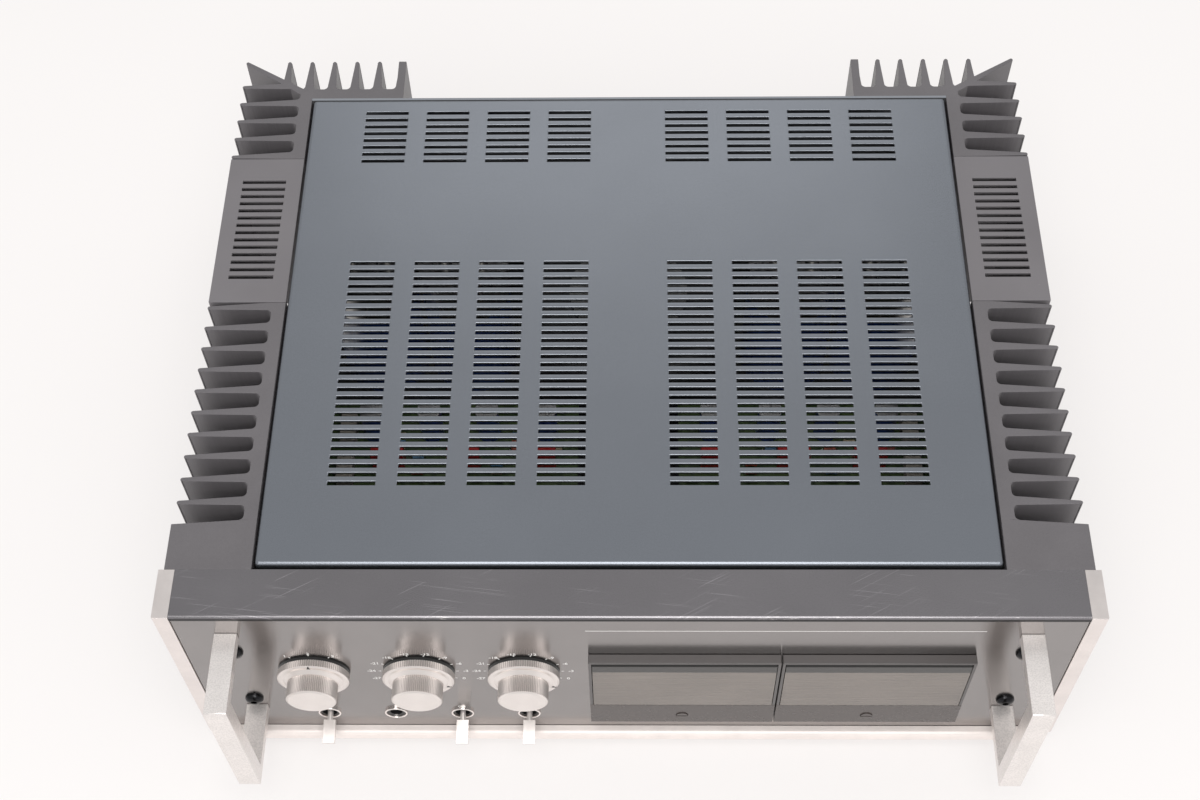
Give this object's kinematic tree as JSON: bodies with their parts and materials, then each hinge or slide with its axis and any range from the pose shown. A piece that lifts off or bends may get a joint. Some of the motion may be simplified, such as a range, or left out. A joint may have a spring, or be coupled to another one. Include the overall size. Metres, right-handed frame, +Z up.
{
  "type": "stereo power amplifier",
  "caption": "Rack-width stereo power amplifier with finned side heatsinks, a slotted cover, front handles, knurled knobs, toggles and twin level meters.",
  "frame": {"origin": "on the table, under the middle of the overall box", "axes": "+X to the right seen from the front, +Y to the rear, +Z up"},
  "size_m": [0.452, 0.398, 0.151],
  "materials": {
    "plated_steel": "zinc plated sheet",
    "cover_paint": "satin blue-grey paint on steel",
    "rail_paint": "satin dark grey paint",
    "rear_paint": "satin dark grey paint on steel",
    "sink_anodise": "matt dark grey anodised extrusion",
    "vent_paint": "matt dark grey paint",
    "satin_silver": "bead blasted and anodised",
    "panel_anodise": "satin grey anodised",
    "turned_silver": "turned and knurled",
    "bright_metal": "nickel plated",
    "black_steel": "black oxide",
    "control_metal": "plated",
    "foot_rubber": "matt",
    "felt": "black felt",
    "black_plastic": "moulded",
    "red_plastic": "moulded",
    "apron_plastic": "moulded",
    "window_clear": "clear acrylic",
    "scale_card": "dark printed plate",
    "needle_paint": "pale paint",
    "movement_iron": "plated magnet housing",
    "winding": "wound and taped core",
    "can_sleeve": "blue sleeve",
    "film_red": "dipped film capacitors",
    "cement": "ceramic",
    "board_resin": "circuit board",
    "relay_amber": "clear amber cover"
  },
  "bodies": {
    "chassis": {"bottom_plate": "plated_steel", "side_plates": "plated_steel", "sub_panel": "plated_steel", "top_cover": "cover_paint", "top_rail": "rail_paint", "rear_panel": "rear_paint", "front_heatsink_left": "sink_anodise", "front_heatsink_right": "sink_anodise", "rear_heatsink_left": "sink_anodise", "rear_heatsink_right": "sink_anodise", "side_vents": "vent_paint", "bottom_rail": "satin_silver", "side_trims": "satin_silver", "handle_left": "satin_silver", "handle_right": "satin_silver", "front_panel": "panel_anodise", "bezel_rings": "bright_metal", "signal_sockets": "bright_metal", "panel_bolts": "black_steel", "rotary_controls": "control_metal", "control_nuts": "control_metal", "transformer_clamp": "control_metal", "power_transistors": "control_metal", "board_spacers": "control_metal", "feet": "foot_rubber", "knob_felts": "felt", "toggle_switches": "black_plastic", "phones_jack": "black_plastic", "meter_cases": "black_plastic", "rectifiers": "black_plastic", "mains_inlet": "black_plastic", "fuse_holder": "black_plastic", "speaker_sockets_black": "black_plastic", "speaker_sockets_red": "red_plastic", "meter_aprons": "apron_plastic", "meter_windows": "window_clear", "meter_scales": "scale_card", "meter_movements": "movement_iron", "transformer": "winding", "reservoir_capacitors": "can_sleeve", "small_capacitors": "can_sleeve", "film_capacitors": "film_red", "cement_resistors": "cement", "amp_boards": "board_resin", "relay_board": "board_resin", "relays": "relay_amber"},
    "input_control": {"input_knob": "turned_silver", "input_shaft": "control_metal"},
    "left_level_control": {"left_level_knob": "turned_silver", "left_level_shaft": "control_metal"},
    "right_level_control": {"right_level_knob": "turned_silver", "right_level_shaft": "control_metal"},
    "power_toggle": {"power_lever": "bright_metal"},
    "speaker_a_toggle": {"speaker_a_lever": "bright_metal"},
    "speaker_b_toggle": {"speaker_b_lever": "bright_metal"},
    "left_pointer": {"left_needle": "needle_paint"},
    "right_pointer": {"right_needle": "needle_paint"},
    "left_zero": {"left_zero_screw": "black_plastic"},
    "right_zero": {"right_zero_screw": "black_plastic"},
    "fuse": {"fuse_cap": "black_plastic"}
  },
  "joints": [
    {"name": "input_turn", "type": "hinge", "parent": "chassis", "child": "input_control", "pos_m": [-0.1579, -0.164, 0.087], "axis": [0, -1, 0], "range_deg": [-30, 30]},
    {"name": "left_level_turn", "type": "hinge", "parent": "chassis", "child": "left_level_control", "pos_m": [-0.10505, -0.164, 0.087], "axis": [0, -1, 0], "range_deg": [0, 223]},
    {"name": "right_level_turn", "type": "hinge", "parent": "chassis", "child": "right_level_control", "pos_m": [-0.0522, -0.164, 0.087], "axis": [0, -1, 0], "range_deg": [0, 223]},
    {"name": "power_switch", "type": "hinge", "parent": "chassis", "child": "power_toggle", "pos_m": [-0.1572, -0.1482, 0.0365], "axis": [-1, 0, 0], "range_deg": [0, 24]},
    {"name": "speaker_a_switch", "type": "hinge", "parent": "chassis", "child": "speaker_a_toggle", "pos_m": [-0.08707, -0.1482, 0.0365], "axis": [-1, 0, 0], "range_deg": [0, 24]},
    {"name": "speaker_b_switch", "type": "hinge", "parent": "chassis", "child": "speaker_b_toggle", "pos_m": [-0.052, -0.1482, 0.0365], "axis": [-1, 0, 0], "range_deg": [0, 24]},
    {"name": "left_needle_swing", "type": "hinge", "parent": "chassis", "child": "left_pointer", "pos_m": [0.02792, -0.1567, 0.049], "axis": [0, 1, 0], "range_deg": [0, 84], "stiffness_Nm_per_rad": 0.0004},
    {"name": "right_needle_swing", "type": "hinge", "parent": "chassis", "child": "right_pointer", "pos_m": [0.12337, -0.1567, 0.049], "axis": [0, 1, 0], "range_deg": [0, 84], "stiffness_Nm_per_rad": 0.0004},
    {"name": "left_zero_turn", "type": "hinge", "parent": "chassis", "child": "left_zero", "pos_m": [0.02792, -0.1613, 0.0445], "axis": [0, 1, 0], "range_deg": [-20, 20]},
    {"name": "right_zero_turn", "type": "hinge", "parent": "chassis", "child": "right_zero", "pos_m": [0.12337, -0.1613, 0.0445], "axis": [0, 1, 0], "range_deg": [-20, 20]},
    {"name": "fuse_turn", "type": "hinge", "parent": "chassis", "child": "fuse", "pos_m": [0.092, 0.1704, 0.0875], "axis": [0, 1, 0], "range_deg": [0, 90]}
  ]
}
